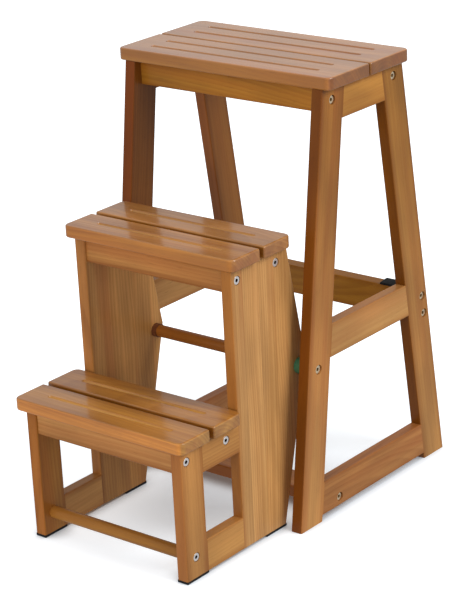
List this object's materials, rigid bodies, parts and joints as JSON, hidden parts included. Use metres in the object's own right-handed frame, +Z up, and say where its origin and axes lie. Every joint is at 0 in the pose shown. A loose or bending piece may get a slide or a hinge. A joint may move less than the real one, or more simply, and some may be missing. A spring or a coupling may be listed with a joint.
{
  "type": "step ladder",
  "caption": "Folding wooden step ladder: a lean-sided stand with a broad top tread, and a pivoted unit of two lower treads that swings up, over and down into the stand.",
  "frame": {"origin": "on the floor, under the middle of the unfolded ladder's box", "axes": "+Z up; +X to the right of someone who climbs it, square to both side frames; +Y from the low tread towards the rear legs"},
  "size_m": [0.376, 0.576, 0.64],
  "materials": {
    "tread_wood": "honey brown stained softwood under gloss varnish, grain along the board",
    "frame_wood": "honey brown stained softwood under gloss varnish, grain along each member",
    "dark_rod_wood": "darker brown stained round rod, gloss varnish",
    "dowel_wood": "bare beech",
    "chromed_bolts": "bright plated, hexagon socket",
    "zinc_steel": "zinc plated",
    "black_rubber": "matt black",
    "green_nylon": "dull green moulded nylon",
    "brown_nylon": "dark brown moulded nylon"
  },
  "bodies": {
    "stand": {"front_leg_left": "frame_wood", "front_leg_right": "frame_wood", "lower_cross_rail": "frame_wood", "rear_cross_rail": "frame_wood", "rear_leg_left": "frame_wood", "rear_leg_right": "frame_wood", "rest_pad_left": "black_rubber", "rest_pad_right": "black_rubber", "side_bottom_rail_left": "frame_wood", "side_bottom_rail_right": "frame_wood", "side_middle_rail_left": "frame_wood", "side_middle_rail_right": "frame_wood", "side_top_rail_left": "frame_wood", "side_top_rail_right": "frame_wood", "stand_barrel_nuts": "zinc_steel", "stand_bolts": "chromed_bolts", "stand_frame_dowels": "dowel_wood", "stand_tread_dowels": "dowel_wood", "stand_tread_screws": "zinc_steel", "top_front_apron": "frame_wood", "top_rear_apron": "frame_wood", "top_tread_front_board": "tread_wood", "top_tread_rear_board": "tread_wood"},
    "step_unit": {"front_foot_pad_left": "black_rubber", "front_foot_pad_right": "black_rubber", "front_rod": "dark_rod_wood", "low_bottom_rail_left": "frame_wood", "low_bottom_rail_right": "frame_wood", "low_front_apron": "frame_wood", "low_leg_left": "frame_wood", "low_leg_right": "frame_wood", "low_rear_apron": "frame_wood", "low_top_rail_left": "frame_wood", "low_top_rail_right": "frame_wood", "low_tread_front_board": "tread_wood", "low_tread_rear_board": "tread_wood", "mid_front_apron": "frame_wood", "mid_rear_apron": "frame_wood", "mid_tread_front_board": "tread_wood", "mid_tread_rear_board": "tread_wood", "pivot_bolt_left": "chromed_bolts", "pivot_bolt_right": "chromed_bolts", "pivot_collar_left": "brown_nylon", "pivot_collar_right": "brown_nylon", "pivot_rod": "dark_rod_wood", "pivot_spacer_left": "green_nylon", "pivot_spacer_right": "green_nylon", "rear_foot_pad_left": "black_rubber", "rear_foot_pad_right": "black_rubber", "rod_inserts": "zinc_steel", "side_panel_left": "frame_wood", "side_panel_right": "frame_wood", "step_barrel_nuts": "zinc_steel", "step_bolts": "chromed_bolts", "step_frame_dowels": "dowel_wood", "step_tread_dowels": "dowel_wood", "step_tread_screws": "zinc_steel"}
  },
  "joints": [
    {"name": "step_unit_fold", "type": "hinge", "parent": "stand", "child": "step_unit", "pos_m": [0, -0.0155, 0.2305], "axis": [-1, 0, 0], "range_deg": [0, 174.5]}
  ]
}
